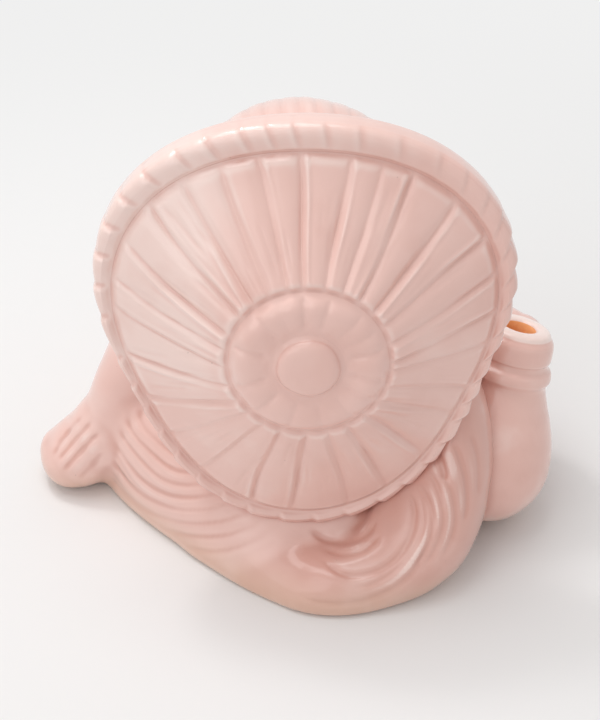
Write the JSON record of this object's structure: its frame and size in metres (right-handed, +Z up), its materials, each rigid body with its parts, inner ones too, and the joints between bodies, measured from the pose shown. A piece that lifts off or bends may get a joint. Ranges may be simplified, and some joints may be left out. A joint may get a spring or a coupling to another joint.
{
  "type": "tanuki figurine",
  "caption": "Seated tanuki figurine in pale pink glazed ceramic, with a pleated conical straw hat slung on its back and an open flask under its right arm",
  "frame": {"origin": "on the flat foot of the body, at the middle of the animal's width, where it stands on the table", "axes": "+Z up, the animal faces -Y, its hat and tail are at +Y, and its left side is at +X"},
  "size_m": [0.1517, 0.1192, 0.1379],
  "materials": {
    "pink_glaze": "satin pale pink glaze, darker where it pools in the carving",
    "flask_glaze": "satin pale pink glaze outside, bare orange clay in the bore"
  },
  "bodies": {
    "root": {"body": "pink_glaze", "left_haunch": "pink_glaze", "right_haunch": "pink_glaze", "left_foot": "pink_glaze", "right_foot": "pink_glaze", "tail": "pink_glaze", "head": "pink_glaze", "muzzle": "pink_glaze", "nose": "pink_glaze", "left_eye": "pink_glaze", "right_eye": "pink_glaze", "left_ear": "pink_glaze", "right_ear": "pink_glaze", "left_arm": "pink_glaze", "left_paw": "pink_glaze", "right_arm": "pink_glaze", "right_paw": "pink_glaze", "flask": "flask_glaze", "hat_cone": "pink_glaze", "hat_rim": "pink_glaze", "hat_crown": "pink_glaze", "hat_knob": "pink_glaze"}
  },
  "joints": []
}
